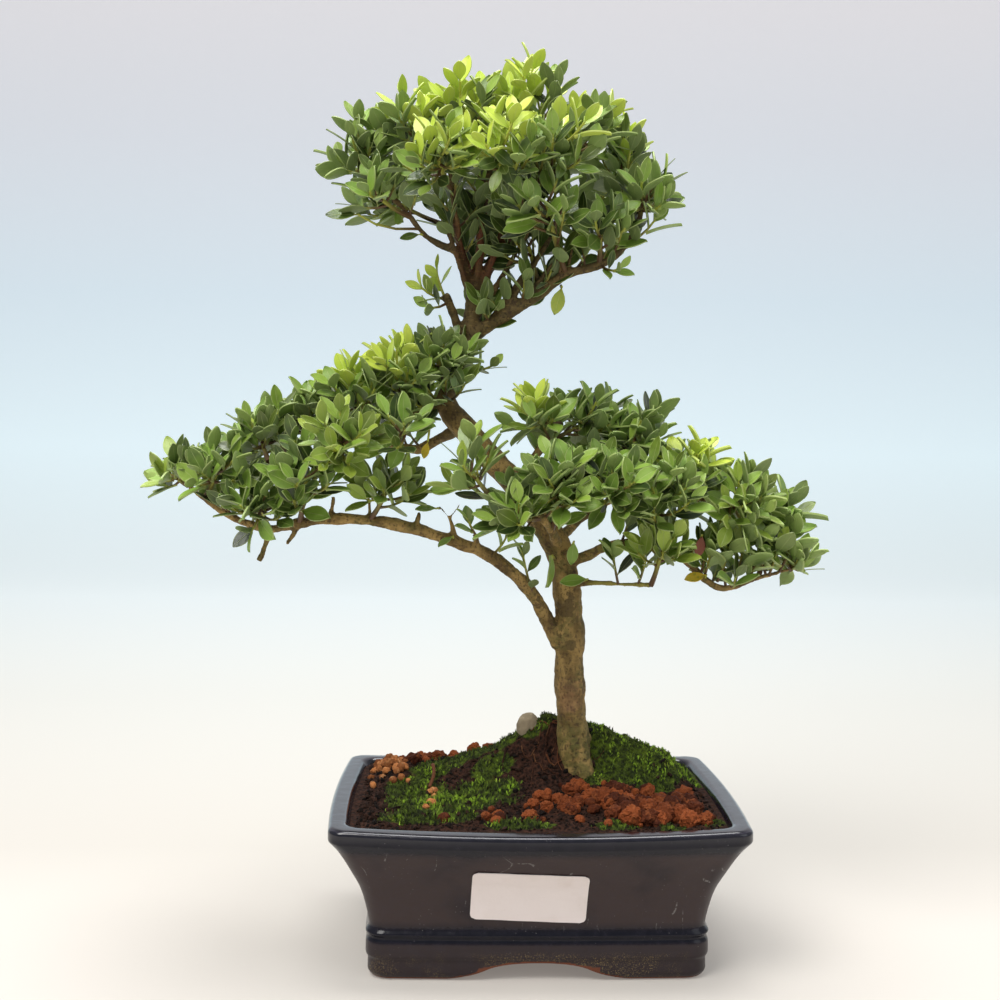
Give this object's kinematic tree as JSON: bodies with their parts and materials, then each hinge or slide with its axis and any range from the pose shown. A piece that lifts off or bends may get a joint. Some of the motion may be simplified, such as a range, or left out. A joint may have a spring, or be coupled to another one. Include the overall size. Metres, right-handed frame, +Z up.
{
  "type": "japanese holly bonsai",
  "caption": "Small evergreen tree with a slanting trunk and leafy pads, growing from a mossy mound in a dark glazed rectangular pot.",
  "frame": {"origin": "bottom middle of the box round the whole tree and pot, on the surface that the pot stands on", "axes": "+Z up, X along the pot's long side, -Y towards the front with the label"},
  "size_m": [0.311, 0.1472, 0.424],
  "materials": {
    "navy_glaze": "gloss",
    "plastic_net": "matte",
    "potting_soil": "matte",
    "label_paper": "satin",
    "grey_stone": "matte",
    "red_clay": "matte",
    "ochre_clay": "matte",
    "bark": "matte",
    "old_leaves": "satin",
    "young_leaves": "satin"
  },
  "bodies": {
    "root": {"pot": "navy_glaze", "drain_screen_left": "plastic_net", "drain_screen_right": "plastic_net", "soil": "potting_soil", "label": "label_paper", "stone": "grey_stone", "clay_lumps_right": "red_clay", "clay_lumps_back_left": "red_clay", "ochre_lumps_left": "ochre_clay", "trunk": "bark", "spray_crown_peak_right": "young_leaves", "spray_crown_peak_left": "young_leaves", "spray_crown_shoulder_left": "young_leaves", "spray_crown_left_tip": "old_leaves", "spray_crown_left_low": "old_leaves", "spray_crown_shoulder_right": "young_leaves", "spray_crown_right_high": "young_leaves", "spray_crown_right_tip": "old_leaves", "spray_crown_right_low": "old_leaves", "spray_crown_front_low": "old_leaves", "spray_crown_front": "young_leaves", "spray_crown_front_left": "young_leaves", "spray_crown_front_right": "old_leaves", "spray_crown_under": "old_leaves", "spray_crown_top_back": "young_leaves", "spray_crown_back_left": "young_leaves", "spray_crown_back_right": "young_leaves", "spray_crown_back_tip": "old_leaves", "spray_crown_back": "old_leaves", "spray_crown_left_back": "old_leaves", "spray_left_tip": "young_leaves", "spray_left_outer": "old_leaves", "spray_left_outer_top": "old_leaves", "spray_left_outer_low": "old_leaves", "spray_left_mid_top": "young_leaves", "spray_left_high": "young_leaves", "spray_left_front": "old_leaves", "spray_left_crest": "young_leaves", "spray_left_front_high": "old_leaves", "spray_left_elbow": "old_leaves", "spray_left_front_low": "old_leaves", "spray_left_inner_low": "old_leaves", "spray_left_back_mid": "old_leaves", "spray_left_back_outer": "old_leaves", "spray_left_back_high": "old_leaves", "spray_right_inner_tip": "old_leaves", "spray_right_crest_left": "young_leaves", "spray_right_crest": "old_leaves", "spray_right_crest_right": "old_leaves", "spray_right_front": "old_leaves", "spray_right_front_left": "old_leaves", "spray_right_front_mid": "old_leaves", "spray_right_front_outer": "old_leaves", "spray_right_shoulder": "young_leaves", "spray_right_outer": "old_leaves", "spray_right_tip": "old_leaves", "spray_right_end": "old_leaves", "spray_right_low": "old_leaves", "spray_right_back": "old_leaves", "spray_right_back_outer": "old_leaves"}
  },
  "joints": []
}
